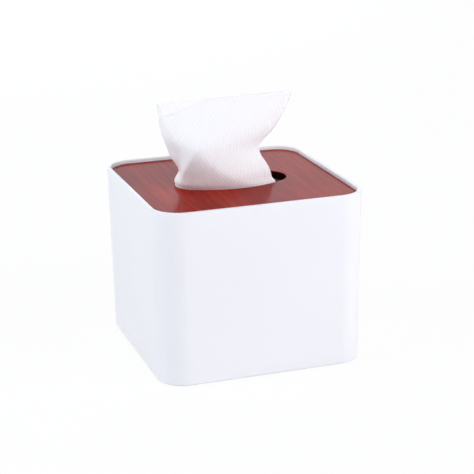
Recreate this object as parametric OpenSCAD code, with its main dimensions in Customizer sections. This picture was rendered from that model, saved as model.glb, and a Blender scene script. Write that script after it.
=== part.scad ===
// Square desk tissue box: a moulded housing, a wood lid with an oval slot, a stack of folded
// tissues and the sheet drawn up through the slot.
// Millimetres, +Z up. The origin is on the table, under the middle of the box, and +Y is the rear.

/* [Housing] */
// Width and depth of the housing across its rim
box_w = 130; // [122:1:150]
// Height of the housing from its base to its rim
box_h = 106; // [96:1:130]
// Thickness of the walls
wall_t = 2.5; // [2:0.1:3.2]
// Thickness of the floor
floor_t = 2.5; // [2:0.1:4]
// How far each wall leans in from the rim to the base
wall_draft = 1.5; // [0.5:0.1:2.5]
// Radius of the upright corners at the rim
corner_r = 18; // [14:0.5:24]
// Radius of the edge round the base
base_edge_r = 1.5; // [0.5:0.1:2.4]
// Radius of the two edges of the rim
rim_edge_r = 0.8; // [0.3:0.1:0.9]
// Radius inside, where the walls meet the floor
floor_edge_r = 1.5; // [0.5:0.1:3]

/* [Ribs that carry the lid] */
// Distance between the two ribs of a wall
rib_pitch = 60; // [40:1:80]
// Thickness of a rib
rib_t = 2; // [1.5:0.1:3]
// How far a rib stands out from the wall under the lid
rib_reach = 4; // [3:0.1:5]

/* [Lid] */
// Thickness of the lid
lid_t = 5; // [4:0.5:8]
// Depth of the lid's face below the rim
lid_recess = 2; // [1:0.1:4]
// Gap all round between the lid and the housing
lid_gap = 0.4; // [0.3:0.05:0.8]
// Radius of the lid's edges
lid_edge_r = 0.5; // [0.2:0.1:1]
// Length of the oval slot
slot_l = 70.6; // [60:0.2:80]
// Width of the oval slot
slot_w = 39.2; // [36:0.2:50]
// Radius of the slot's two ends
slot_end_r = 13.5; // [12:0.5:16]

/* [Tissue stack] */
// Gap between the stack and the ribs on each side
stack_gap = 8.5; // [3:0.5:12]
// Height of the stack at its sides
stack_h = 64; // [30:1:70]
// How far the stack's top rises in the middle
stack_crown = 2; // [1:0.1:4]
// Radius of the stack's folded edges
stack_fold_r = 4; // [2:0.5:8]

/* [Drawn tissue] */
// Thickness of the doubled sheet
sheet_t = 0.8; // [0.6:0.1:1.2]
// Gap between the sheet and the slot, and between the sheet and the stack
sheet_gap = 0.3; // [0.25:0.05:0.6]
// Height of the sheet's top left corner above the lid
sheet_rise = 52; // [40:1:60]
// How much higher the sheet's right corner stands than its left
sheet_tilt = 1.7; // [0:0.1:4]
// How far the sheet's front leans out at the tip of its fold
sheet_bulge = 10; // [0:0.5:12]

/* [Feet] */
// Radius of a foot pad
foot_r = 6; // [4:0.5:8]
// Thickness of a foot pad
foot_t = 1.6; // [1.2:0.1:2]
// How far a foot stands out below the base
foot_proud = 0.8; // [0.5:0.1:1]
// Gap round a foot in its recess
foot_gap = 0.3; // [0.2:0.05:0.5]
// Distance from the middle of a foot to the side of the base
foot_inset = 20; // [14:0.5:30]

/* [Hidden] */
$fn = 96;
// Overlap that joins two solids of one piece
join = 0.5;
// Steps in an edge's quarter circle
edge_steps = 6;

// Half of the flat stretch between two corners
flat_half = box_w / 2 - corner_r;
// Height of the lid's underside above the base
seat_z = box_h - lid_recess - lid_t;
// Height of the lid's face above the table
lid_top = foot_proud + box_h - lid_recess;
// The lid's corner radius, a gap inside the housing's wall
lid_corner_r = wall_inner(seat_z) - lid_gap;
// Distance from the middle of the box to the faces of the ribs
rib_face = flat_half + wall_inner(box_h) - rib_reach;
// Width and depth of the stack, and its heights above the table
stack_w = 2 * (rib_face - stack_gap);
stack_base = foot_proud + floor_t;
stack_top = stack_base + stack_h + stack_crown;
// Middle of a foot from the middle of the box
foot_at = box_w / 2 - wall_draft - foot_inset;

// The wall's outer and inner face at a height, measured from the middle of the corner's round
function wall_outer(z) = corner_r - wall_draft * (1 - z / box_h);
function wall_inner(z) = wall_outer(z) - wall_t;

// Points along an arc about a centre, from one angle to another
function arc(centre, r, from, to, steps = edge_steps) =
    [for (i = [0:steps]) let (a = from + (to - from) * i / steps) centre + r * [cos(a), sin(a)]];

// Radius of the side arcs of an oval, so that they run smoothly into its end arcs
function oval_side_r(half_l, half_w, end_r) =
    (half_l ^ 2 + half_w ^ 2 - 2 * half_l * end_r) / (2 * (half_w - end_r));

// Point where an oval's end arc meets its side arc, in the first quarter
function oval_meet(half_l, half_w, end_r) = let (side_r = oval_side_r(half_l, half_w, end_r))
    side_r / (side_r - end_r) * [half_l - end_r, side_r - half_w] - [0, side_r - half_w];

// Point of an oval in the direction that an ellipse of its size has at an angle
function oval_point(half_l, half_w, end_r, a) = let (
    on_ellipse = [half_l * cos(a), half_w * sin(a)],
    u = on_ellipse / norm(on_ellipse),
    side_r = oval_side_r(half_l, half_w, end_r),
    meet = oval_meet(half_l, half_w, end_r),
    end_x = half_l - end_r,
    side_y = side_r - half_w,
    reach = abs(u.y) * meet.x < abs(u.x) * meet.y
        ? end_x * abs(u.x) + sqrt(end_r ^ 2 - (end_x * u.y) ^ 2)
        : sqrt(side_r ^ 2 - (side_y * u.x) ^ 2) - side_y * abs(u.y)
) reach * u;

// Half section of the housing, from the middle of a corner's round outwards
function housing_section() = concat(
    [[0, 0]],
    arc([wall_outer(base_edge_r) - base_edge_r, base_edge_r], base_edge_r, -90, 0),
    arc([wall_outer(box_h - rim_edge_r) - rim_edge_r, box_h - rim_edge_r], rim_edge_r, 0, 90),
    arc([wall_inner(box_h - rim_edge_r) + rim_edge_r, box_h - rim_edge_r], rim_edge_r, 90, 180),
    arc([wall_inner(floor_t + floor_edge_r) - floor_edge_r, floor_t + floor_edge_r], floor_edge_r, 0, -90),
    [[0, floor_t]]
);

// Half section of the lid
function lid_section() = concat(
    arc([lid_corner_r - lid_edge_r, lid_edge_r], lid_edge_r, -90, 0),
    arc([lid_corner_r - lid_edge_r, lid_t - lid_edge_r], lid_edge_r, 0, 90),
    [[0, lid_t], [0, 0]]
);

// Carries a half section round the rounded square and fills the middle
module around_square(points, middle_t) {
    for (turn = [0:90:270]) rotate([0, 0, turn]) {
        translate([flat_half, flat_half, 0]) rotate_extrude(angle = 90) polygon(points);
        translate([flat_half, flat_half, 0]) rotate([90, 0, 0])
            linear_extrude(2 * flat_half) polygon(points);
    }
    translate([-flat_half, -flat_half, 0]) cube([2 * flat_half, 2 * flat_half, middle_t]);
}

// Ribs up the inside of each wall, whose tops carry the lid
module lid_ribs() {
    rib_out = flat_half + (wall_inner(box_h) + wall_outer(0)) / 2;
    for (turn = [0:90:270], side = [-1, 1]) rotate([0, 0, turn])
        translate([rib_face, side * rib_pitch / 2 - rib_t / 2, floor_t - join])
            cube([rib_out - rib_face, rib_t, seat_z - floor_t + join]);
}

// Middles of the four feet
module at_feet() {
    for (x = [-1, 1], y = [-1, 1]) translate([x * foot_at, y * foot_at, 0]) children();
}

module housing() {
    color("white") translate([0, 0, foot_proud]) difference() {
        union() {
            around_square(housing_section(), floor_t);
            lid_ribs();
        }
        at_feet() translate([0, 0, -join])
            cylinder(r = foot_r + foot_gap, h = foot_t - foot_proud + join);
    }
}

// Prism over an oval of four arcs, with two round ends and two flatter sides
module slot_oval(h) {
    half_l = slot_l / 2;
    half_w = slot_w / 2;
    side_r = oval_side_r(half_l, half_w, slot_end_r);
    meet = oval_meet(half_l, half_w, slot_end_r);
    intersection() {
        translate([0, half_w - side_r, 0]) cylinder(r = side_r, h = h);
        translate([0, side_r - half_w, 0]) cylinder(r = side_r, h = h);
        translate([-meet.x, -half_w, 0]) cube([2 * meet.x, slot_w, h]);
    }
    for (side = [-1, 1]) translate([side * (half_l - slot_end_r), 0, 0]) cylinder(r = slot_end_r, h = h);
}

module lid() {
    color([0.62, 0.32, 0.27]) translate([0, 0, foot_proud + seat_z]) difference() {
        around_square(lid_section(), lid_t);
        translate([0, 0, -join]) slot_oval(lid_t + 2 * join);
    }
}

// Folded tissues, rounded along the folds on the left and right and crowned on top
module tissue_stack() {
    crown_r = ((stack_w / 2) ^ 2 + stack_crown ^ 2) / (2 * stack_crown);
    crown_a = asin((stack_w / 2 - stack_fold_r) / crown_r);
    half = concat(
        arc([stack_w / 2 - stack_fold_r, stack_fold_r], stack_fold_r, -90, 0),
        arc([stack_w / 2 - stack_fold_r, stack_h - stack_fold_r], stack_fold_r, 0, 90),
        arc([0, stack_h + stack_crown - crown_r], crown_r, 90 - crown_a, 90)
    );
    outline = concat(half, [for (i = [len(half) - 2:-1:0]) [-half[i].x, half[i].y]]);
    color([0.95, 0.95, 0.96]) translate([0, stack_w / 2, stack_base]) rotate([90, 0, 0])
        linear_extrude(stack_w) polygon(outline);
}

// The drawn sheet's plan at each height above the lid is a stretch of an oval that starts as the
// slot's own. Each row holds the height as a share of the rise, the shift of the oval's middle
// along X and Y and its half length and half width, as shares of those at the slot, and the
// stretch's two angles.
sheet_rows = [
    [0, 0, 0, 1, 1, 150, 315],
    [0.06, -0.042, 0, 1, 1, 151, 312.5],
    [0.165, -0.052, 0, 1, 0.98, 156, 309.5],
    [0.42, -0.285, -0.149, 0.85, 0.68, 168, 323.5],
    [0.65, -0.235, -0.249, 1.037, 0.403, 176, 334.5],
    [1, -0.127, -0.299, 1.238, 0.154, 180, 358]
];
// The fold in the front: its tip as a share of the rise, and the places across the sheet of its
// left end, its tip and its right end
fold_top = 0.5;
fold_left = 0.28;
fold_tip = 0.42;
fold_right = 0.92;
// How softly the front turns over at the crease, as a share of the rise
fold_soft = 0.03;
// The broad swell above the crease: its height as a share of the bulge, its middle and width
// across the sheet, and the share of the rise where it is full
swell = 0.8;
swell_at = 0.5;
swell_wide = 0.36;
swell_top = 0.8;
// The left end is drawn in above the slot: how far, as a share of the half length, the share of the
// rise where it is deepest and how far above that it ends, and how far across the sheet it reaches
pinch = 0.121;
pinch_at = 0.165;
pinch_above = 0.25;
pinch_to = 0.32;
pinch_soft = 0.12;
// Points across the sheet and up it
sheet_cols = 32;
sheet_levels = 20;
// How much higher the middle of the top edge arches
sheet_arch = 1;
// Inset of the sheet's middle surface from the slot, and its half length and half width there
sheet_inset = sheet_gap + sheet_t / 2;
sheet_half_l = slot_l / 2 - sheet_inset;
sheet_half_w = slot_w / 2 - sheet_inset;

// Slope of a column of the rows at a row, for a smooth curve through them
function row_slope(k, i) = i == 0 ? 0
    : let (next = min(i + 1, len(sheet_rows) - 1))
      (sheet_rows[next][k] - sheet_rows[i - 1][k]) / (sheet_rows[next][0] - sheet_rows[i - 1][0]);

// Value of a column of the rows at a share of the rise
function row_value(k, share) = let (
    s = max(0, min(1, share)),
    i = max([for (j = [0:len(sheet_rows) - 2]) if (sheet_rows[j][0] <= s) j]),
    span = sheet_rows[i + 1][0] - sheet_rows[i][0],
    t = (s - sheet_rows[i][0]) / span
) (2 * t ^ 3 - 3 * t ^ 2 + 1) * sheet_rows[i][k]
    + (t ^ 3 - 2 * t ^ 2 + t) * span * row_slope(k, i)
    + (3 * t ^ 2 - 2 * t ^ 3) * sheet_rows[i + 1][k]
    + (t ^ 3 - t ^ 2) * span * row_slope(k, i + 1);

// Soft step from 0 to 1
function smooth(t) = let (u = max(0, min(1, t))) u * u * (3 - 2 * u);

// Height of the fold's crease at a place across the sheet, as a share of the rise: an arch on the
// left of its tip, and on the right a slope that runs out at the slot
function fold_height(across) = fold_top * max(0, across < fold_tip
    ? 1 - ((fold_tip - across) / (fold_tip - fold_left)) ^ 2
    : max(0, 1 - (across - fold_tip) / (fold_right - fold_tip)) ^ 1.6);

// How far the sheet leans out: up to the crease first, then over into one broad swell that fades
// to the top edge
function sheet_lean(across, share) = let (
    crease = fold_height(across),
    up = (share - sqrt((share - crease) ^ 2 + fold_soft ^ 2) + sqrt(crease ^ 2 + fold_soft ^ 2)) / 2,
    low = up / fold_top,
    broad = swell * exp(-((across - swell_at) / swell_wide) ^ 2),
    over = smooth((share - crease) / (swell_top - crease)),
    fade = 1 - smooth((share - fold_top) / (1 - fold_top))
) sheet_bulge * (low + (broad - low) * over) * fade;

// How far the sheet's left end is drawn in
function sheet_pinch(across, share) = sheet_half_l * pinch * smooth(share / pinch_at)
    * (1 - smooth((share - pinch_at) / pinch_above)) * smooth((pinch_to - across) / pinch_soft);

// Plan position of the sheet's middle surface, across it from 0 to 1 and at a share of the rise
function sheet_plan(across, share) = let (
    a = row_value(5, share) + (row_value(6, share) - row_value(5, share)) * across,
    half_l = sheet_half_l * row_value(3, share),
    half_w = sheet_half_w * row_value(4, share),
    end_r = (slot_end_r - sheet_inset) * row_value(4, share)
) oval_point(half_l, half_w, end_r, a)
    + [sheet_half_l * row_value(1, share) + sheet_pinch(across, share),
       sheet_half_w * row_value(2, share) - sheet_lean(across, share)];

// Unit normal of the sheet's plan, outwards from the oval
function sheet_normal(across, share) = let (
    step = 0.01,
    along = sheet_plan(across + step, share) - sheet_plan(across - step, share)
) [along.y, -along.x] / norm(along);

// A point on one face of the sheet
function sheet_point(across, level, side) = let (
    low = stack_top + sheet_gap - lid_top,
    height = low + (sheet_rise - low) * level,
    share = max(0, height) / sheet_rise,
    top = share ^ 2 * (sheet_tilt * across + sheet_arch * sin(180 * across)),
    plan = sheet_plan(across, share) + side * sheet_t / 2 * sheet_normal(across, share)
) [plan.x, plan.y, lid_top + height + top];

module tissue_sheet() {
    cols = sheet_cols + 1;
    face = cols * (sheet_levels + 1);
    points = [for (side = [1, -1], j = [0:sheet_levels], i = [0:sheet_cols])
        sheet_point(i / sheet_cols, j / sheet_levels, side)];
    front = [for (j = [0:sheet_levels - 1], i = [0:sheet_cols - 1]) let (p = j * cols + i)
        [p, p + cols, p + cols + 1, p + 1]];
    back = [for (f = front) [for (k = [3:-1:0]) face + f[k]]];
    last = sheet_levels * cols;
    ends = concat(
        [for (i = [0:sheet_cols - 1]) [i, i + 1, face + i + 1, face + i]],
        [for (i = [0:sheet_cols - 1]) [last + i + 1, last + i, face + last + i, face + last + i + 1]],
        [for (j = [0:sheet_levels - 1]) let (p = j * cols) [p + cols, p, face + p, face + p + cols]],
        [for (j = [0:sheet_levels - 1]) let (p = j * cols + sheet_cols)
            [p, p + cols, face + p + cols, face + p]]
    );
    triangles = [for (f = concat(front, back, ends), k = [1, 2]) [f[0], f[k], f[k + 1]]];
    color([0.96, 0.95, 0.97]) polyhedron(points, triangles);
}

// One foot pad, at a corner given by the signs of x and y
module foot(x, y) {
    color([0.75, 0.75, 0.77]) translate([x * foot_at, y * foot_at, 0]) cylinder(r = foot_r, h = foot_t);
}
module foot_front_left() foot(-1, -1);
module foot_front_right() foot(1, -1);
module foot_rear_left() foot(-1, 1);
module foot_rear_right() foot(1, 1);

housing();
lid();
tissue_stack();
tissue_sheet();
foot_front_left();
foot_front_right();
foot_rear_left();
foot_rear_right();
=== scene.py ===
import math

import bmesh
import bpy
import numpy as np
from mathutils import Matrix, Vector


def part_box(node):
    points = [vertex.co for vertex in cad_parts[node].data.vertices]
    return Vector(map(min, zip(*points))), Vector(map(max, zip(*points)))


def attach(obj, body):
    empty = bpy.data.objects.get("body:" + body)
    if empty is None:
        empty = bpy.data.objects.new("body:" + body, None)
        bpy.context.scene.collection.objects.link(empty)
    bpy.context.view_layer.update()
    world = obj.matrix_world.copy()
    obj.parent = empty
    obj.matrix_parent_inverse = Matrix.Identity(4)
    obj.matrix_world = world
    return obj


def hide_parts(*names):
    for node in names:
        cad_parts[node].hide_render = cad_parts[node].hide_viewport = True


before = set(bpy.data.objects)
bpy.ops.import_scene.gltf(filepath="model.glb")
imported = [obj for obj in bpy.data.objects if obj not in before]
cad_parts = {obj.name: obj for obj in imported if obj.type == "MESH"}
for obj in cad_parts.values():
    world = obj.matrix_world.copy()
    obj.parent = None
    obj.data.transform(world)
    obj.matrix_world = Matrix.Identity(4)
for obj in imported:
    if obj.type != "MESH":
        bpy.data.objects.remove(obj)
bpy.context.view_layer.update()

mm = 0.001
weldDistance = 0.002 * mm  # points nearer than this become one


# Camera and helpers

cameraView = {
    "azimuth": -18.578,  # degrees, from the front towards the left
    "elevation": 17.546,
    "roll": -0.876,
    "distance": 942.6 * mm,
    "lens": 115.46,
    "sensor": 36,
    "clip": (0.05, 20),
    "aimHeight": 60.8 * mm,
    "aimRight": 3.285 * mm,
    "aimUp": 7.015 * mm,
}


def makeCamera(view):
    # back points from the box to the camera; right and up are turned by the roll about it
    azimuth, elevation, roll = (math.radians(view[key]) for key in ("azimuth", "elevation", "roll"))
    level = math.cos(elevation)
    back = Vector((math.sin(azimuth) * level, -math.cos(azimuth) * level, math.sin(elevation)))
    levelRight = Vector((0, 0, 1)).cross(back).normalized()
    levelUp = back.cross(levelRight)
    right = levelRight * math.cos(roll) + levelUp * math.sin(roll)
    up = levelUp * math.cos(roll) - levelRight * math.sin(roll)
    data = bpy.data.cameras.new("studioCamera")
    data.lens = view["lens"]
    data.sensor_width = view["sensor"]
    data.clip_start, data.clip_end = view["clip"]
    camera = bpy.data.objects.new("studioCamera", data)
    aim = Vector((0, 0, view["aimHeight"])) + right * view["aimRight"] + up * view["aimUp"]
    turned = Matrix((right, up, back)).transposed().to_4x4()
    camera.matrix_world = Matrix.Translation(aim + back * view["distance"]) @ turned
    bpy.context.scene.collection.objects.link(camera)
    bpy.context.scene.camera = camera


def gridQuads(rows, columns, closeRows=False, closeColumns=False):
    # vertex numbers of the quads of a grid, row after row, joined round where a direction is closed
    rowStart = np.arange(rows if closeRows else rows - 1)
    column = np.arange(columns if closeColumns else columns - 1)
    r, c = np.meshgrid(rowStart, column, indexing="ij")
    here, above = r * columns, (r + 1) % rows * columns
    nextC = (c + 1) % columns
    return np.stack([here + c, here + nextC, above + nextC, above + c], -1).reshape(-1, 4)


def signedVolume(points, quads):
    # six times the volume, summed over two triangles for each quad
    a, b, c, d = (points[quads[:, k]] for k in range(4))
    return (a * (np.cross(b, c) + np.cross(c, d))).sum()


def makePiece(name, points, quads, material, closed=True):
    # a smooth mesh of the quads; a closed one is turned so that its faces point outwards
    points = np.asarray(points, float).reshape(-1, 3)
    if closed and signedVolume(points, quads) < 0:
        quads = quads[:, ::-1]
    mesh = bpy.data.meshes.new(name)
    mesh.from_pydata(points.tolist(), [], quads.tolist())
    mesh.polygons.foreach_set("use_smooth", np.ones(len(mesh.polygons), bool))
    mesh.materials.append(material)
    mesh.update()
    piece = bpy.data.objects.new(name, mesh)
    bpy.context.scene.collection.objects.link(piece)
    return piece


def mergeDoubles(piece):
    # the points that lie together at a cap's middle become one
    work = bmesh.new()
    work.from_mesh(piece.data)
    bmesh.ops.remove_doubles(work, verts=work.verts, dist=weldDistance)
    work.to_mesh(piece.data)
    work.free()


def smoothStep(t):
    # from 0 to 1 with level ends: three t squared less two t cubed
    t = np.clip(t, 0, 1)
    return t * t * (3 - 2 * t)


def arcPoints(x, z, radius, start, end, steps=8):
    # points x + r cos a, z + r sin a, from one angle in degrees to another
    a = np.radians(np.linspace(start, end, steps + 1))
    return np.stack([x + radius * np.cos(a), z + radius * np.sin(a)], -1)


def circleAngles(count=64):
    # equal steps round a circle, without the last one, which is the first again
    return np.linspace(0, 2 * math.pi, count + 1)[:-1]


def squarePath(half, corner, cornerSteps, extra=(), sideSteps=12):
    # Points of the rounded square's inner square, the outward normal at each, and the place along the side.
    # Each side runs from -flat to flat at an offset; each corner keeps its point while the normal turns.
    flat = half - corner
    side = np.unique(np.concatenate([np.linspace(-flat, flat, sideSteps + 1), *extra]))
    turn = np.linspace(0, math.pi / 2, cornerSteps + 1)[1:-1]
    base, normal, along = [], [], []
    for quarter in range(4):
        a = quarter * math.pi / 2
        out, way = np.array([math.cos(a), math.sin(a)]), np.array([-math.sin(a), math.cos(a)])
        base.append(out * flat + way * side[:, None])
        normal.append(np.repeat(out[None], len(side), 0))
        along.append(side)
        base.append(np.repeat((out + way)[None] * flat, len(turn), 0))
        normal.append(out * np.cos(turn)[:, None] + way * np.sin(turn)[:, None])
        along.append(np.full(len(turn), flat))
    return np.concatenate(base), np.concatenate(normal), np.concatenate(along)


# Material helpers

def newMaterial(name):
    # a material with its nodes, its links and its main shader
    material = bpy.data.materials.new(name)
    material.use_nodes = True
    nodes, links = material.node_tree.nodes, material.node_tree.links
    return material, nodes, links, nodes["Principled BSDF"]


def addNode(nodes, kind, **settings):
    # a node with its settings: each is a socket's value where it has such a socket, or else a property
    node = nodes.new(kind)
    for key, value in settings.items():
        if key in node.inputs:
            node.inputs[key].default_value = value
        else:
            setattr(node, key, value)
    return node


def objectNoise(nodes, links, scale, detail=4.0, stretch=(1, 1, 1), roughness=0.5):
    # noise over the Object coordinates, stretched by a Mapping node
    coordinates = addNode(nodes, "ShaderNodeTexCoord")
    mapping = addNode(nodes, "ShaderNodeMapping")
    mapping.inputs["Scale"].default_value = stretch
    noise = addNode(nodes, "ShaderNodeTexNoise")
    noise.inputs["Scale"].default_value = scale
    noise.inputs["Detail"].default_value = detail
    noise.inputs["Roughness"].default_value = roughness
    links.new(coordinates.outputs["Object"], mapping.inputs["Vector"])
    links.new(mapping.outputs["Vector"], noise.inputs["Vector"])
    return noise.outputs["Fac"]


def rampOf(nodes, links, source, places, colors):
    # colours laid at places from 0 to 1, blended straight between them
    ramp = addNode(nodes, "ShaderNodeValToRGB")
    while len(ramp.color_ramp.elements) < len(places):
        ramp.color_ramp.elements.new(0.5)
    for element, place, color in zip(ramp.color_ramp.elements, places, colors):
        element.position = place
        element.color = (*color, 1)
    links.new(source, ramp.inputs["Fac"])
    return ramp.outputs["Color"]


def mathOf(nodes, links, operation, *values):
    # a Math node's result on sockets and plain numbers, in their order
    node = addNode(nodes, "ShaderNodeMath", operation=operation)
    for socket, value in zip(node.inputs, values):
        if isinstance(value, bpy.types.NodeSocket):
            links.new(value, socket)
        else:
            socket.default_value = value
    return node.outputs[0]


def rangeOf(nodes, links, source, low, high):
    # from low to high as the source goes from 0 to 1
    node = addNode(nodes, "ShaderNodeMapRange")
    node.inputs["To Min"].default_value = low
    node.inputs["To Max"].default_value = high
    links.new(source, node.inputs["Value"])
    return node.outputs["Result"]


def bumpFrom(nodes, links, height, distance, strength=1.0, before=None):
    # a normal tipped by the slope of the height times the distance
    bump = addNode(nodes, "ShaderNodeBump")
    bump.inputs["Distance"].default_value = distance
    bump.inputs["Strength"].default_value = strength
    links.new(height, bump.inputs["Height"])
    if before is not None:
        links.new(before, bump.inputs["Normal"])
    return bump.outputs["Normal"]


# Housing: the wall's half section carried round a rounded square, with the ribs as steps of its inner face

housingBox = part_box("housing")
housingShape = {
    "halfWidth": housingBox[1].x,
    "base": housingBox[0].z,
    "height": housingBox[1].z - housingBox[0].z,
    "wall": 2.5 * mm,
    "floor": 2.5 * mm,
    "draft": 1.5 * mm,
    "corner": 18 * mm,
    "baseEdge": 1.5 * mm,
    "rimEdge": 0.8 * mm,
    "floorEdge": 1.5 * mm,
    "ribPitch": 60 * mm,
    "ribThick": 2 * mm,
    "ribReach": 4 * mm,
    "ribEdge": 0.3 * mm,
    "footGap": 0.3 * mm,
    "footDeep": 0.8 * mm,
    "seatRow": 0.02 * mm,  # a row this far above the ribs' tops
    "ribRound": (0.3, 0.8),  # a row on their rounded edge: how far down it, and how far out
    "outerRows": 24,
    "innerRows": 22,
    "cornerSteps": 28,
    "sharpAngle": 35,  # degrees
}
housingFinish = {
    "color": (0.8, 0.775, 0.81),
    "shade": (0.78, 0.755, 0.795),
    "roughness": (0.34, 0.42),
    "grainScale": 2600,
    "grainDepth": 0.004 * mm,
    "flowScale": 9,
    "flowPlaces": (0.3, 0.65),
}


def housingWall(shape, z):
    # Outer and inner face of the wall at a height, measured from the middle of the corner's round: its radius
    # less the draft times the share of the height above, and a wall's thickness further in.
    outer = shape["corner"] - shape["draft"] * (1 - z / shape["height"])
    return outer, outer - shape["wall"]


def makeHousing(shape, material, seat):
    # Each row of the section is (spread, reach, height, rib): point = spread * base + reach * normal,
    # and rib says how far the row steps in to the ribs' faces.
    height, edge, rim, fillet = shape["height"], shape["baseEdge"], shape["rimEdge"], shape["floorEdge"]
    ribFace = housingWall(shape, height)[1] - shape["ribReach"]
    outerLow = housingWall(shape, edge)[0]
    outerTop, innerTop = housingWall(shape, height - rim)
    innerLow = housingWall(shape, shape["floor"] + fillet)[1]
    outside = np.concatenate([
        arcPoints(outerLow - edge, edge, edge, -90, 0),
        np.linspace((outerLow, edge), (outerTop, height - rim), shape["outerRows"])[1:-1],
        arcPoints(outerTop - rim, height - rim, rim, 0, 90),
        arcPoints(innerTop + rim, height - rim, rim, 90, 180),
    ])
    roundDown, roundOut = shape["ribRound"]
    ribTop = [seat + shape["seatRow"], seat, seat - roundDown * shape["ribEdge"], seat - shape["ribEdge"]]
    wallZ = np.concatenate([ribTop, np.linspace(seat, shape["floor"] + fillet, shape["innerRows"])[1:-1]])
    inside = np.stack([housingWall(shape, wallZ)[1], wallZ], -1)
    floorArc = arcPoints(innerLow - fillet, shape["floor"] + fillet, fillet, 0, -90)
    section = np.concatenate([outside, inside, floorArc])
    ribRows = np.ones(len(wallZ) - 3 + len(floorArc))
    rib = np.pad(np.concatenate([np.zeros(len(outside)), [0, 0, roundOut], ribRows]), 3)
    capSpread = np.array([0, 0.5, 1.0])
    spread = np.concatenate([capSpread, np.ones(len(section)), capSpread[::-1]])
    reach = np.pad(section[:, 0], 3)
    z = np.pad(section[:, 1], 3, constant_values=(0, shape["floor"]))
    half, soft, ribAt = shape["ribThick"] / 2, shape["ribEdge"] / 2, shape["ribPitch"] / 2
    ribEdges = np.array([-half - soft, -half, -half + soft, 0, half - soft, half, half + soft])
    extra = (-ribAt + ribEdges, ribAt + ribEdges)
    base, normal, along = squarePath(shape["halfWidth"], shape["corner"], shape["cornerSteps"], extra)
    onRib = smoothStep((half + soft - np.abs(np.abs(along) - ribAt)) / shape["ribEdge"])
    wanted = np.minimum(ribFace, reach[:, None])
    reachAt = reach[:, None] + (wanted - reach[:, None]) * rib[:, None] * onRib[None, :]
    plan = spread[:, None, None] * base[None] + reachAt[:, :, None] * normal[None]
    upright = np.broadcast_to((z + shape["base"])[:, None, None], (*plan.shape[:2], 1))
    quads = gridQuads(len(z), len(base), closeColumns=True)
    piece = makePiece("housingShell", np.concatenate([plan, upright], -1), quads, material)
    mergeDoubles(piece)
    return piece


def cutFootRecesses(piece, shape, feet):
    # four round recesses in the base, cut with one solid made of four discs
    low, high = shape["base"] - mm, shape["base"] + shape["footDeep"]
    a = circleAngles()
    points, quads = [], []
    for footLow, footHigh in feet:
        centre = (footLow + footHigh) / 2
        radius = (footHigh.x - footLow.x) / 2 + shape["footGap"]
        quads.append(gridQuads(4, len(a), closeColumns=True) + 4 * len(a) * len(quads))
        for reach, z in [(0, low), (radius, low), (radius, high), (0, high)]:
            circle = centre.x + reach * np.cos(a), centre.y + reach * np.sin(a), np.full(len(a), z)
            points.append(np.column_stack(circle))
    cutter = makePiece("recessCutter", np.concatenate(points), np.concatenate(quads), piece.data.materials[0])
    mergeDoubles(cutter)
    cut = piece.modifiers.new("recesses", "BOOLEAN")
    cut.operation = "DIFFERENCE"
    cut.solver = "EXACT"
    cut.object = cutter
    bpy.context.view_layer.update()
    cutPiece = piece.evaluated_get(bpy.context.evaluated_depsgraph_get())
    finished = bpy.data.meshes.new_from_object(cutPiece)
    piece.modifiers.clear()
    piece.data = finished
    bpy.data.objects.remove(cutter)


def shadeByAngle(piece, degrees):
    # sharp edges where two faces meet at more than the angle
    work = bmesh.new()
    work.from_mesh(piece.data)
    for edge in work.edges:
        edge.smooth = len(edge.link_faces) == 2 and edge.calc_face_angle(0) < math.radians(degrees)
    work.to_mesh(piece.data)
    work.free()


def plasticMaterial(finish):
    # moulded white plastic: a very fine texture, and broad faint clouds from the flow in the mould
    material, nodes, links, shader = newMaterial("housingPlastic")
    flow = objectNoise(nodes, links, finish["flowScale"], detail=2.0)
    clouds = rampOf(nodes, links, flow, finish["flowPlaces"], (finish["shade"], finish["color"]))
    links.new(clouds, shader.inputs["Base Color"])
    links.new(rangeOf(nodes, links, flow, *finish["roughness"]), shader.inputs["Roughness"])
    grain = objectNoise(nodes, links, finish["grainScale"], detail=2.0)
    links.new(bumpFrom(nodes, links, grain, finish["grainDepth"]), shader.inputs["Normal"])
    return material


# Lid: a wood plate with an oval slot of four arcs, rounded at every edge

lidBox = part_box("lid")
lidShape = {
    "halfWidth": lidBox[1].x,
    "low": lidBox[0].z,
    "top": lidBox[1].z,
    "corner": lidBox[1].x - (housingShape["halfWidth"] - housingShape["corner"]),
    "edge": 0.4 * mm,
    "slotEdge": 0.6 * mm,
    "slotHalfLength": 35.3 * mm,
    "slotHalfWidth": 19.6 * mm,
    "slotEnd": 13.5 * mm,
    "topRows": 14,
    "underRows": 8,
    "edgeSteps": 6,
    "lacquered": 3,  # rows of each upper edge that keep the lacquer
    "cornerSteps": 24,
    "sideSteps": 48,
}
woodFinish = {
    "grainPlaces": (0.34, 0.5, 0.68),
    "grainColors": ((0.19, 0.006, 0.002), (0.27, 0.009, 0.002), (0.36, 0.03, 0.007)),
    "streaks": 760,
    "streakShare": 0.7,
    "bands": 70,
    "bandShare": 0.3,
    "alongGrain": 0.03,
    "poreDepth": 0.02 * mm,
    "poreStrength": 0.5,
    "roughness": 0.5,
    "specular": 0.0,
    "coat": 0.31,
    "coatRoughness": 0.16,
    "slotShadeColor": (0.016, 0.003, 0.002),  # painted shade on the slot's wall, so that the slot looks black inside
    "rimColor": (0.07, 0.012, 0.006),  # and on the outer edge
    "speckDeep": 0.4,  # a speck's colour as a share of the stain's
    "speckPlaces": (0.35, 0.7),
    "edgeRoughness": 0.65,
}


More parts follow.
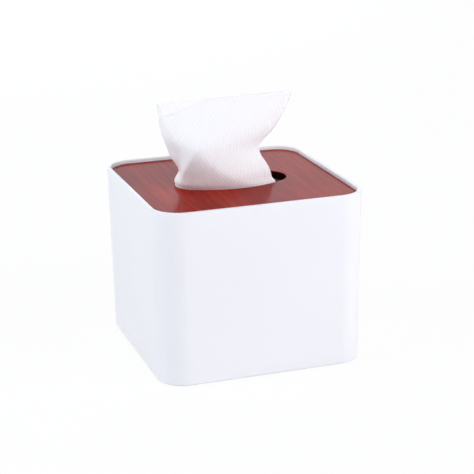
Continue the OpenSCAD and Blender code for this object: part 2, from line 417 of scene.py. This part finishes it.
def ovalPoint(halfLength, halfWidth, endRadius, angle):
    # Point of an oval of four arcs in the direction that an ellipse of its size has at an angle, and the
    # outward normal there. The end arcs' middles lie on X, the side arcs' on Y.
    direction = np.stack([halfLength * np.cos(angle), halfWidth * np.sin(angle)], -1)
    direction = direction / np.linalg.norm(direction, axis=-1, keepdims=True)
    sideRadius = (halfLength**2 + halfWidth**2 - 2 * halfLength * endRadius) / (2 * (halfWidth - endRadius))
    endX, sideY = halfLength - endRadius, sideRadius - halfWidth
    meet = sideRadius / (sideRadius - endRadius)
    meetX, meetY = meet * endX, meet * sideY - sideY
    ux, uy = np.abs(direction[..., 0]), np.abs(direction[..., 1])
    onEnd = uy * meetX < ux * meetY
    endReach = endX * ux + np.sqrt(np.maximum(endRadius**2 - (endX * uy) ** 2, 0))
    sideReach = np.sqrt(np.maximum(sideRadius**2 - (sideY * ux) ** 2, 0)) - sideY * uy
    point = direction * np.where(onEnd, endReach, sideReach)[..., None]
    signs = np.sign(direction)
    endMiddle = np.stack([signs[..., 0] * endX, 0 * ux], -1)
    sideMiddle = np.stack([0 * ux, -signs[..., 1] * sideY], -1)
    middle = np.where(onEnd[..., None], endMiddle, sideMiddle)
    normal = point - middle
    return point, normal / np.linalg.norm(normal, axis=-1, keepdims=True)


def makeLid(shape, material, slotMaterial, rimMaterial):
    # A closed loop of rows: out over the top from the slot, round the outer edge, back below, and up the slot. A
    # row is a share of the way from the slot to the outer edge, or a step round an edge's quarter circle.
    base, normal, _ = squarePath(shape["halfWidth"], shape["corner"], shape["cornerSteps"], (), shape["sideSteps"])
    outerPoint = base + normal * shape["corner"]
    angle = np.arctan2(outerPoint[:, 1] / shape["slotHalfWidth"], outerPoint[:, 0] / shape["slotHalfLength"])
    slotPoint, slotNormal = ovalPoint(shape["slotHalfLength"], shape["slotHalfWidth"], shape["slotEnd"], angle)
    edge, slotEdge, low, top = shape["edge"], shape["slotEdge"], shape["low"], shape["top"]
    rows = []

    def addRow(plan, z):
        rows.append(np.column_stack([plan, np.full(len(plan), z)]))

    innerTop, outerTop = slotPoint + slotNormal * slotEdge, base + normal * (shape["corner"] - edge)
    quarter = np.linspace(0, math.pi / 2, shape["edgeSteps"] + 1)
    for k in np.linspace(0, 1, shape["topRows"]):
        addRow(innerTop + (outerTop - innerTop) * k, top)
    for a in quarter[1:]:
        addRow(outerTop + normal * edge * math.sin(a), top - edge + edge * math.cos(a))
    for a in quarter:
        addRow(outerTop + normal * edge * math.cos(a), low + edge - edge * math.sin(a))
    for k in np.linspace(1, 0, shape["underRows"])[1:]:
        addRow(innerTop + (outerTop - innerTop) * k, low)
    wallRow = len(rows)
    for a in quarter[1:]:
        addRow(innerTop - slotNormal * slotEdge * math.sin(a), low + slotEdge - slotEdge * math.cos(a))
    for a in quarter[:-1]:
        addRow(innerTop - slotNormal * slotEdge * math.cos(a), top - slotEdge + slotEdge * math.sin(a))
    points = np.stack(rows)
    quads = gridQuads(len(rows), len(base), closeRows=True, closeColumns=True)
    piece = makePiece("lidPlate", points, quads, material)
    piece.data.materials.append(slotMaterial)
    piece.data.materials.append(rimMaterial)
    rowOfQuad = np.arange(len(quads)) // len(base)
    edgeRow = shape["topRows"] - 1
    onSlot = (rowOfQuad >= wallRow) & (rowOfQuad < len(rows) - shape["lacquered"])
    onRim = (rowOfQuad >= edgeRow + shape["lacquered"]) & (rowOfQuad < edgeRow + 2 * shape["edgeSteps"])
    piece.data.polygons.foreach_set("material_index", onSlot.astype(int) + 2 * onRim.astype(int))
    return piece


def woodMaterial(finish):
    # Straight grain along the depth, under a clear lacquer: fine streaks times their share plus broad bands
    # times theirs, laid on the grain's colours.
    material, nodes, links, shader = newMaterial("lidWood")
    along = finish["alongGrain"]
    bands = objectNoise(nodes, links, finish["bands"], detail=3.0, stretch=(1, along * 2, 1))
    streaks = objectNoise(nodes, links, finish["streaks"], detail=6.0, stretch=(1, along, 1), roughness=0.65)
    broad = mathOf(nodes, links, "MULTIPLY", bands, finish["bandShare"])
    both = mathOf(nodes, links, "MULTIPLY_ADD", streaks, finish["streakShare"], broad)
    grain = rampOf(nodes, links, both, finish["grainPlaces"], finish["grainColors"])
    links.new(grain, shader.inputs["Base Color"])
    pores = bumpFrom(nodes, links, streaks, finish["poreDepth"], finish["poreStrength"])
    links.new(pores, shader.inputs["Normal"])
    shader.inputs["Roughness"].default_value = finish["roughness"]
    shader.inputs["Specular IOR Level"].default_value = finish["specular"]
    shader.inputs["Coat Weight"].default_value = finish["coat"]
    shader.inputs["Coat Roughness"].default_value = finish["coatRoughness"]
    return material


def sawnEdgeMaterial(name, finish, color):
    # dark stain on a sawn edge, with the grain's ends as fine darker specks
    material, nodes, links, shader = newMaterial(name)
    specks = objectNoise(nodes, links, finish["streaks"] * 2, detail=3.0)
    deep = tuple(finish["speckDeep"] * value for value in color)
    stain = rampOf(nodes, links, specks, finish["speckPlaces"], (deep, color))
    links.new(stain, shader.inputs["Base Color"])
    links.new(bumpFrom(nodes, links, specks, finish["poreDepth"]), shader.inputs["Normal"])
    shader.inputs["Roughness"].default_value = finish["edgeRoughness"]
    shader.inputs["Specular IOR Level"].default_value = finish["specular"]
    return material


# Drawn tissue: one doubled sheet, folded along its right edge, that rises from the slot and opens out

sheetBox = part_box("tissue_sheet")
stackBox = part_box("tissue_stack")
sheetShape = {
    "low": sheetBox[0].z,
    "rise": 52 * mm,
    "inset": 0.7 * mm,
    "layerGap": 0.3 * mm,
    "thick": 0.22 * mm,
    "tilt": 1.7 * mm,
    "arch": 1.0 * mm,
    "bulge": 11 * mm,
    "foldTop": 0.5,  # tip of the front's crease, as a share of the rise
    "foldLeft": 0.28,  # places of the crease across the sheet
    "foldTip": 0.42,
    "foldRight": 0.92,
    "foldSoft": 0.045,
    "foldCurve": 0.8,
    "foldFall": 1.6,
    "foldWidth": 0.012,  # of the turn at the right edge, as a share of half the sheet
    "swell": 0.8,  # the broad swell above the crease, as a share of the bulge
    "swellAt": 0.5,
    "swellWide": 0.36,
    "swellTop": 0.8,
    "pinch": 4.2 * mm,  # how far the left end is drawn in above the slot
    "pinchAt": 0.165,
    "pinchAbove": 0.25,
    "pinchTo": 0.32,
    "pinchSoft": 0.12,
    "frontDrop": 9 * mm,  # the front layer's free corner stands this much lower
    "dropAt": 0.12,
    "dropWide": 0.38,
    "dropSharp": 8,
    "gathers": 26,
    "gatherHeight": 0.3 * mm,
    "gatherSlant": 0.25,
    "gatherWidth": (0.012, 0.04),
    "gatherMiddle": (0.05, 0.95),
    "gatherReach": (0.12, 0.35),
    "gatherFade": 0.08,
    "seed": 11,
    "slopeStep": 0.004,  # steps along and up for the sheet's normal
    "slopeRise": 0.5 * mm,
    "columns": 170,
    "levels": 140,
    "flatSize": (0.2, 0.09),
}
# height as a share of the rise; shift along X and Y, half length and half width, as shares of those
# at the slot; first and last angle
sheetRows = np.array([
    [0, 0, 0, 1, 1, 150, 315],
    [0.06, -0.042, 0, 1, 1, 151, 312.5],
    [0.165, -0.052, 0, 1, 0.98, 156, 309.5],
    [0.42, -0.285, -0.149, 0.85, 0.68, 168, 323.5],
    [0.65, -0.235, -0.249, 1.037, 0.403, 176, 334.5],
    [1, -0.127, -0.299, 1.238, 0.154, 180, 358],
])
tissueFinish = {
    "color": (0.965, 0.935, 0.965),
    "valley": (0.93, 0.9, 0.935),
    "dotPitch": 3.0 * mm,
    "dotRows": 2.1 * mm,
    "dotDepth": 0.1 * mm,
    "roughness": 0.85,
    "specular": 0.2,
    "through": 0.14,
    "crinkleScale": 900,
    "crinkleDepth": 0.05 * mm,
    "crinkleStrength": 0.6,
    "domePlaces": (0.12, 0.5),
    "tintPlaces": (0.3, 0.6),
    "offTop": 1.5,  # added to the way from a dot on faces that don't look up
}


def rowValue(column, share):
    # smooth curve through a column of the rows: cubic pieces whose slopes come from the rows on either side
    place, value = sheetRows[:, 0], sheetRows[:, column]
    slope = np.zeros(len(place))
    slope[1:-1] = (value[2:] - value[:-2]) / (place[2:] - place[:-2])
    slope[-1] = (value[-1] - value[-2]) / (place[-1] - place[-2])
    i = np.clip(np.searchsorted(place, share, side="right") - 1, 0, len(place) - 2)
    span = place[i + 1] - place[i]
    t = (share - place[i]) / span
    return ((2 * t**3 - 3 * t**2 + 1) * value[i] + (t**3 - 2 * t**2 + t) * span * slope[i]
            + (3 * t**2 - 2 * t**3) * value[i + 1] + (t**3 - t**2) * span * slope[i + 1])


def foldHeight(shape, across):
    # The crease's height: on the left of its tip one less the square of the share of the way to its end, and on
    # the right a power of the share that is left of the way down to the slot.
    tip = shape["foldTip"]
    left = 1 - (np.maximum(tip - across, 0) / (tip - shape["foldLeft"])) ** 2
    right = (1 - np.clip((across - tip) / (shape["foldRight"] - tip), 0, 1)) ** shape["foldFall"]
    return shape["foldTop"] * np.maximum(np.minimum(left, right), 0)


def sheetLean(shape, across, share):
    # How far the sheet leans out: below the crease a power of the height's share, held at the crease's own by a
    # smooth minimum, and above it over into a bell curve across the sheet. Both fade to the top.
    crease, soft = foldHeight(shape, across), shape["foldSoft"]
    up = (share - np.sqrt((share - crease) ** 2 + soft**2) + np.sqrt(crease**2 + soft**2)) / 2
    low = (np.maximum(up, 0) / shape["foldTop"]) ** shape["foldCurve"]
    broad = shape["swell"] * np.exp(-(((across - shape["swellAt"]) / shape["swellWide"]) ** 2))
    over = smoothStep((share - crease) / (shape["swellTop"] - crease))
    fade = 1 - smoothStep((share - shape["foldTop"]) / (1 - shape["foldTop"]))
    return shape["bulge"] * (low + (broad - low) * over) * fade


def sheetPinch(shape, across, share):
    # how far the left end is drawn in: a rise and a longer fall up the sheet, times a step across
    above = smoothStep((share - shape["pinchAt"]) / shape["pinchAbove"])
    step = smoothStep((shape["pinchTo"] - across) / shape["pinchSoft"])
    return shape["pinch"] * smoothStep(share / shape["pinchAt"]) * (1 - above) * step


def sheetGathers(shape, across, share):
    # soft ridges that run up the sheet, each a bell curve across with its own place, slant, width and reach
    random = np.random.default_rng(shape["seed"])
    count = shape["gathers"]
    place, slant = random.uniform(0, 1, count), random.normal(0, shape["gatherSlant"], count)
    width = random.uniform(*shape["gatherWidth"], count)
    height = random.uniform(-1, 1, count) * shape["gatherHeight"]
    middle, reach = random.uniform(*shape["gatherMiddle"], count), random.uniform(*shape["gatherReach"], count)
    off = across[..., None] - place - slant * (share[..., None] - middle)
    ridge = height * np.exp(-((off / width) ** 2) - ((share[..., None] - middle) / reach) ** 2)
    return ridge.sum(-1) * smoothStep(share / shape["gatherFade"])


def sheetMiddle(shape, across, height):
    # The doubled sheet's middle surface: a stretch of an oval that starts as the slot's own, sized and shifted
    # by the rows, plus the gathers along its normal, plus the pinch along X, less the lean along Y. The top's
    # tilt and arch come in with the square of the height's share.
    share = np.clip(height / shape["rise"], 0, 1)
    shiftX, shiftY, longer, wider, first, last = (rowValue(k, share) for k in range(1, 7))
    halfLength = lidShape["slotHalfLength"] - shape["inset"]
    halfWidth = lidShape["slotHalfWidth"] - shape["inset"]
    endRadius = (lidShape["slotEnd"] - shape["inset"]) * wider
    angle = np.radians(first + (last - first) * across)
    point, normal = ovalPoint(halfLength * longer, halfWidth * wider, endRadius, angle)
    point = point + normal * sheetGathers(shape, across, share)[..., None]
    lean = sheetLean(shape, across, share)
    top = share**2 * (shape["tilt"] * across + shape["arch"] * np.sin(math.pi * across))
    pinch = sheetPinch(shape, across, share)
    plan = point + np.stack([halfLength * shiftX + pinch, halfWidth * shiftY - lean], -1)
    return np.concatenate([plan, (lidShape["top"] + height + top)[..., None]], -1)


def makeSheet(shape, material):
    # Runs from the back layer's free edge, round the fold at the right, to the front layer's free edge:
    # across = 1 at the fold, and each layer stands half the gap off the middle surface. The map's values are
    # lengths along each row, stretched to the top row's, and up each column.
    run = np.linspace(-1, 1, 2 * shape["columns"] + 1)[None, :]
    level = np.linspace(0, 1, shape["levels"] + 1)[:, None]
    foldWidth = shape["foldWidth"]
    across = 1 - (np.sqrt(run**2 + foldWidth**2) - foldWidth) / (math.sqrt(1 + foldWidth**2) - foldWidth)
    side = np.tanh(run / foldWidth)
    low = shape["low"] - lidShape["top"]
    onLeft = 1 - smoothStep((across - shape["dropAt"]) / shape["dropWide"])
    drop = shape["frontDrop"] * onLeft * smoothStep(run * shape["dropSharp"])
    topAt = shape["rise"] - drop
    height = low + (topAt - low) * level
    across = np.broadcast_to(across, height.shape)
    middle = sheetMiddle(shape, across, height)
    left = sheetMiddle(shape, np.clip(across - shape["slopeStep"], 0, 1), height)
    right = sheetMiddle(shape, np.clip(across + shape["slopeStep"], 0, 1), height)
    above = sheetMiddle(shape, across, height + shape["slopeRise"])
    normal = np.cross(right - left, above - middle)
    normal = normal / np.linalg.norm(normal, axis=-1, keepdims=True)
    points = middle + normal * (side * shape["layerGap"])[..., None]
    quads = gridQuads(*height.shape)
    piece = makePiece("tissueDrawn", points, quads, material, closed=False)
    along = np.cumsum(np.linalg.norm(np.diff(points, axis=1, prepend=points[:, :1]), axis=2), axis=1)
    along = along / along[:, -1:] * along[-1, -1]
    up = np.cumsum(np.linalg.norm(np.diff(middle, axis=0, prepend=middle[:1]), axis=2), axis=0)
    uv = np.stack([along, up], -1).reshape(-1, 2)
    layer = piece.data.uv_layers.new(name="sheetMap")
    loopVertex = np.zeros(len(piece.data.loops), int)
    piece.data.loops.foreach_get("vertex_index", loopVertex)
    layer.data.foreach_set("uv", uv[loopVertex].ravel())
    wall = piece.modifiers.new("paperThickness", "SOLIDIFY")
    wall.thickness = shape["thick"]
    wall.offset = 0
    return piece


def tissueMaterial(finish, mapped):
    # Soft white paper with rows of small embossed dots, each row half a pitch along from the last: a square
    # grid turned by 45 degrees and stretched. On the drawn sheet they follow its map, and on the stack they lie
    # on its upper face alone.
    material, nodes, links, shader = newMaterial("tissuePaper" if mapped else "tissuePaperFolded")
    shader.inputs["Roughness"].default_value = finish["roughness"]
    shader.inputs["Specular IOR Level"].default_value = finish["specular"]
    crinkle = objectNoise(nodes, links, finish["crinkleScale"], detail=5.0)
    normal = bumpFrom(nodes, links, crinkle, finish["crinkleDepth"], finish["crinkleStrength"])
    if mapped:
        place = addNode(nodes, "ShaderNodeUVMap", uv_map="sheetMap").outputs["UV"]
    else:
        place = addNode(nodes, "ShaderNodeTexCoord").outputs["Object"]
    turned = addNode(nodes, "ShaderNodeMapping")
    turned.inputs["Rotation"].default_value = (0, 0, math.radians(45))
    perMetre = math.sqrt(2) / finish["dotPitch"], math.sqrt(0.5) / finish["dotRows"]
    turned.inputs["Scale"].default_value = (*perMetre, 0)
    links.new(place, turned.inputs["Vector"])
    dots = addNode(nodes, "ShaderNodeTexVoronoi", feature="F1", Randomness=0.0, Scale=1.0)
    links.new(turned.outputs["Vector"], dots.inputs["Vector"])
    away = dots.outputs["Distance"]
    if not mapped:
        facing = addNode(nodes, "ShaderNodeSeparateXYZ")
        links.new(addNode(nodes, "ShaderNodeNewGeometry").outputs["Normal"], facing.inputs["Vector"])
        upper = rangeOf(nodes, links, facing.outputs["Z"], finish["offTop"], 0.0)
        away = mathOf(nodes, links, "ADD", away, upper)
    dome = rampOf(nodes, links, away, finish["domePlaces"], ((1, 1, 1), (0, 0, 0)))
    normal = bumpFrom(nodes, links, dome, finish["dotDepth"], before=normal)
    tint = rampOf(nodes, links, away, finish["tintPlaces"], (finish["color"], finish["valley"]))
    links.new(tint, shader.inputs["Base Color"])
    links.new(normal, shader.inputs["Normal"])
    through = addNode(nodes, "ShaderNodeBsdfTranslucent")
    through.inputs["Color"].default_value = (*finish["color"], 1)
    links.new(normal, through.inputs["Normal"])
    blend = addNode(nodes, "ShaderNodeMixShader")
    blend.inputs["Fac"].default_value = finish["through"]
    links.new(shader.outputs[0], blend.inputs[1])
    links.new(through.outputs[0], blend.inputs[2])
    links.new(blend.outputs[0], nodes["Material Output"].inputs["Surface"])
    return material


# Folded stack: many thin folded tissues, a fine groove between them on every side, and a low crown

stackShape = {
    "halfWidth": stackBox[1].x,
    "low": stackBox[0].z,
    "top": stackBox[1].z,
    "crown": 2 * mm,
    "corner": 2.5 * mm,
    "leaves": 46,
    "rowsInLeaf": 4,
    "foldDepth": 0.35 * mm,
    "shift": 0.35 * mm,
    "seed": 7,
    "sideSteps": 40,
    "cornerSteps": 6,
    "capRows": 23,
    "lowRound": 2 * mm,
    "lowShare": 0.4,  # of the corner's reach that is left at the very bottom
    "waveHeight": 0.25 * mm,
    "waves": ((130, 0.4), (90, 1.1)),  # along X and Y: radians in a metre, and at the middle
    "pressed": 0.6 * mm,  # the upper leaves lie up to this much lower
    "topGap": 0.1 * mm,  # the crown ends this far below the solid's
}


def makeStack(shape, material):
    # Side rows: reach = outline less a scallop at each leaf's edge, and each leaf is shifted a little. The cap's
    # rows shrink to the middle; their rise is one less the square of the share of the half width, times one less
    # the sixth power of the shrink.
    random = np.random.default_rng(shape["seed"])
    rows = shape["leaves"] * shape["rowsInLeaf"]
    height = shape["top"] - shape["low"] - shape["crown"]
    v = np.arange(rows + 1) / rows
    leaf = np.minimum((v * shape["leaves"]).astype(int), shape["leaves"] - 1)
    inLeaf = v * shape["leaves"] - leaf
    shift = random.uniform(-1, 1, (shape["leaves"], 2))[leaf] * shape["shift"]
    scallop = shape["foldDepth"] * np.abs(np.cos(math.pi * inLeaf)) ** 3 + shape["shift"]
    base, normal, _ = squarePath(shape["halfWidth"], shape["corner"], shape["cornerSteps"], (), shape["sideSteps"])
    reach = shape["corner"] - scallop[:, None]
    rounded = smoothStep(v * height / shape["lowRound"]) * (1 - shape["lowShare"]) + shape["lowShare"]
    plan = base[None] + normal[None] * (reach * rounded[:, None])[..., None] + shift[:, None, :]
    wave = shape["waveHeight"]
    for place, (rate, start) in zip(base.T, shape["waves"]):
        wave = wave * np.sin(place * rate + start)
    z = shape["low"] + v[:, None] * (height + (wave - shape["pressed"]) * v[:, None])
    walls = np.concatenate([plan, z[..., None]], -1)
    shrink = np.linspace(1, 0, shape["capRows"] + 1)[1:]
    topPlan = plan[-1][None] * shrink[:, None, None]
    arch = np.clip(1 - (np.abs(topPlan[..., 0]) / shape["halfWidth"]) ** 2, 0, 1)
    topRise = shape["top"] - shape["topGap"] - z[-1][None]
    topZ = z[-1][None] + topRise * arch * (1 - shrink[:, None] ** 6)
    cap = np.concatenate([topPlan, topZ[..., None]], -1)
    bottomPlan = plan[0][None] * shrink[::-1][:, None, None]
    under = np.concatenate([bottomPlan, np.full((*bottomPlan.shape[:2], 1), shape["low"])], -1)
    points = np.concatenate([under, walls, cap])
    quads = gridQuads(*points.shape[:2], closeColumns=True)
    piece = makePiece("stackFolded", points, quads, material)
    mergeDoubles(piece)
    return piece


# Feet: a turned pad with a rounded rim, two shallow rings and a fine groove by the rim

footNames = ["foot_front_left", "foot_front_right", "foot_rear_left", "foot_rear_right"]
footShape = {
    "edge": 0.35 * mm,
    "groove": 0.12 * mm,
    "halfWaves": 3,  # of the sine between the middle and the rim
    "ringWidth": 0.3,  # the sine below which a ring is cut
    "plainMiddle": 0.5 * mm,
    "underSteps": 24,
}
footFinish = {
    "color": (0.5, 0.5, 0.52),
    "roughness": 0.7,
    "grainScale": 1500,
    "grainDepth": 0.02 * mm,
}


def makeFoot(node, shape, material):
    # radius and height pairs turned round the pad's axis; a ring is cut where a sine of the radius is small
    low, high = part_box(node)
    radius, thick = (high.x - low.x) / 2, high.z - low.z
    edge = shape["edge"]
    under = np.linspace(0, radius - edge, shape["underSteps"] + 1)
    inRing = np.abs(np.sin(np.pi * under / (radius - edge) * shape["halfWaves"])) < shape["ringWidth"]
    depth = shape["groove"] * inRing * (under > shape["plainMiddle"])
    profile = np.concatenate([
        np.stack([under, depth], -1),
        arcPoints(radius - edge, edge, edge, -90, 0),
        arcPoints(radius - edge, thick - edge, edge, 0, 90),
        np.array([[0, thick]]),
    ])
    a = circleAngles()
    centre = (low + high) / 2
    points = np.stack([centre.x + profile[:, :1] * np.cos(a), centre.y + profile[:, :1] * np.sin(a),
                       np.broadcast_to(low.z + profile[:, 1:], (len(profile), len(a)))], -1)
    name = "pad" + "".join(word.capitalize() for word in node.split("_")[1:])
    piece = makePiece(name, points, gridQuads(len(profile), len(a), closeColumns=True), material)
    mergeDoubles(piece)
    return piece


def rubberMaterial(finish):
    # plain grey rubber with a fine grain
    material, nodes, links, shader = newMaterial("footRubber")
    shader.inputs["Base Color"].default_value = (*finish["color"], 1)
    shader.inputs["Roughness"].default_value = finish["roughness"]
    grain = objectNoise(nodes, links, finish["grainScale"], detail=3.0)
    links.new(bumpFrom(nodes, links, grain, finish["grainDepth"]), shader.inputs["Normal"])
    return material


# Studio: white floor and world, four broad lamps round the box, and a card that shows in the lid's gloss

studio = {
    "ambient": 0.3,
    "ambientColor": (0.86, 0.96, 1.0),
    "glossy": 1.0,
    "cardGlow": 1.95,
    "cardColor": (0.85, 0.94, 1.0),
    "cardSides": (-0.4, 1.0),
    "cardHeights": (0.12, 0.8),
    "cardBack": 1.0,
    "floorGlow": 0.93,
    "floorSize": 4.0,
    "floorColor": (0.86, 0.86, 0.87),
    "floorRoughness": 0.9,
    "aim": (0, 0, 0.06),
    "lamps": [  # name, place, size, power, colour, and whether gloss shows it
        ("keyRight", (1.0, -1.0, 0.75), (1.0, 1.0), 15.5, (1, 1, 1), True),
        ("fillLeft", (-1.5, 0.1, 0.8), (1.0, 1.0), 15.5, (0.92, 0.97, 1.0), True),
        ("fillFront", (-0.3, -1.5, 0.9), (1.2, 1.0), 7.5, (0.92, 0.97, 1.0), True),
        ("fillRear", (0.1, 1.6, 0.75), (1.2, 1.0), 13.0, (1, 1, 1), False),
    ],
}


def makeWorld(settings):
    # white to the camera, bright in gloss, and a faint cool light on everything else
    world = bpy.data.worlds.new("studioWorld")
    bpy.context.scene.world = world
    world.use_nodes = True
    nodes, links = world.node_tree.nodes, world.node_tree.links
    background = nodes["Background"]
    rays = addNode(nodes, "ShaderNodeLightPath").outputs
    seen = mathOf(nodes, links, "MAXIMUM", rays["Is Camera Ray"], rays["Is Transmission Ray"])
    bright = rangeOf(nodes, links, seen, settings["ambient"], 1.0)
    tint = rampOf(nodes, links, rays["Is Diffuse Ray"], (0, 1), ((1, 1, 1), settings["ambientColor"]))
    links.new(tint, background.inputs["Color"])
    inGloss = settings["glossy"] - settings["ambient"]
    strength = mathOf(nodes, links, "MULTIPLY_ADD", rays["Is Glossy Ray"], inGloss, bright)
    links.new(strength, background.inputs["Strength"])


def makeFloor(settings):
    # pale paper that is white to the camera and in gloss, and keeps a little of the box's shadow
    half = settings["floorSize"]
    points = np.array([[-half, -half, 0], [half, -half, 0], [half, half, 0], [-half, half, 0]])
    material, nodes, links, shader = newMaterial("floorPaper")
    shader.inputs["Base Color"].default_value = (*settings["floorColor"], 1)
    shader.inputs["Roughness"].default_value = settings["floorRoughness"]
    shader.inputs["Specular IOR Level"].default_value = 0.0
    glow = addNode(nodes, "ShaderNodeEmission")
    glow.inputs["Strength"].default_value = 1.0
    rays = addNode(nodes, "ShaderNodeLightPath").outputs
    seen = mathOf(nodes, links, "MAXIMUM", rays["Is Camera Ray"], rays["Is Glossy Ray"])
    share = mathOf(nodes, links, "MULTIPLY", seen, settings["floorGlow"])
    blend = addNode(nodes, "ShaderNodeMixShader")
    links.new(share, blend.inputs["Fac"])
    links.new(shader.outputs[0], blend.inputs[1])
    links.new(glow.outputs[0], blend.inputs[2])
    links.new(blend.outputs[0], nodes["Material Output"].inputs["Surface"])
    floor = makePiece("studioFloor", points, np.array([[0, 1, 2, 3]]), material, closed=False)


def makeRearCard(settings):
    # a bright card low behind the box, seen only in the lid's gloss
    (left, right), (low, high), back = settings["cardSides"], settings["cardHeights"], settings["cardBack"]
    points = np.array([[left, back, low], [right, back, low], [right, back, high], [left, back, high]])
    material, nodes, links, shader = newMaterial("cardGlow")
    glow = addNode(nodes, "ShaderNodeEmission")
    glow.inputs["Color"].default_value = (*settings["cardColor"], 1)
    glow.inputs["Strength"].default_value = settings["cardGlow"]
    links.new(glow.outputs[0], nodes["Material Output"].inputs["Surface"])
    card = makePiece("rearCard", points, np.array([[0, 1, 2, 3]]), material, closed=False)
    card.visible_camera = card.visible_diffuse = card.visible_transmission = card.visible_shadow = False


def makeLamp(name, place, size, power, color, inGloss, aim):
    # a broad lamp that looks from its place to the aim
    data = bpy.data.lights.new(name, "AREA")
    data.shape = "RECTANGLE"
    data.size, data.size_y = size
    data.energy = power
    data.color = color
    lamp = bpy.data.objects.new(name, data)
    lamp.location = place
    lamp.rotation_mode = "QUATERNION"
    lamp.rotation_quaternion = (Vector(aim) - Vector(place)).to_track_quat("-Z", "Y")
    lamp.visible_glossy = inGloss
    bpy.context.scene.collection.objects.link(lamp)


# Build

makeCamera(cameraView)
makeWorld(studio)
makeFloor(studio)
makeRearCard(studio)
for lamp in studio["lamps"]:
    makeLamp(*lamp, studio["aim"])
print("studio ready")

plastic = plasticMaterial(housingFinish)
housing = makeHousing(housingShape, plastic, lidBox[0].z - housingShape["base"])
cutFootRecesses(housing, housingShape, [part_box(name) for name in footNames])
shadeByAngle(housing, housingShape["sharpAngle"])
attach(housing, "box")
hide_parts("housing")
print("housing made")

slotShade = sawnEdgeMaterial("lidSlotShade", woodFinish, woodFinish["slotShadeColor"])
rimStain = sawnEdgeMaterial("lidRimEdge", woodFinish, woodFinish["rimColor"])
lid = makeLid(lidShape, woodMaterial(woodFinish), slotShade, rimStain)
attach(lid, "lid")
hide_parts("lid")
print("lid made")

sheet = makeSheet(sheetShape, tissueMaterial(tissueFinish, True))
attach(sheet, "tissue")
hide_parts("tissue_sheet")
print("drawn tissue made")

stack = makeStack(stackShape, tissueMaterial(tissueFinish, False))
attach(stack, "box")
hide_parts("tissue_stack")
print("stack made")

rubber = rubberMaterial(footFinish)
for footName in footNames:
    foot = makeFoot(footName, footShape, rubber)
    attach(foot, "box")
    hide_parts(footName)
print("feet made")

bpy.context.scene.view_settings.view_transform = "Standard"
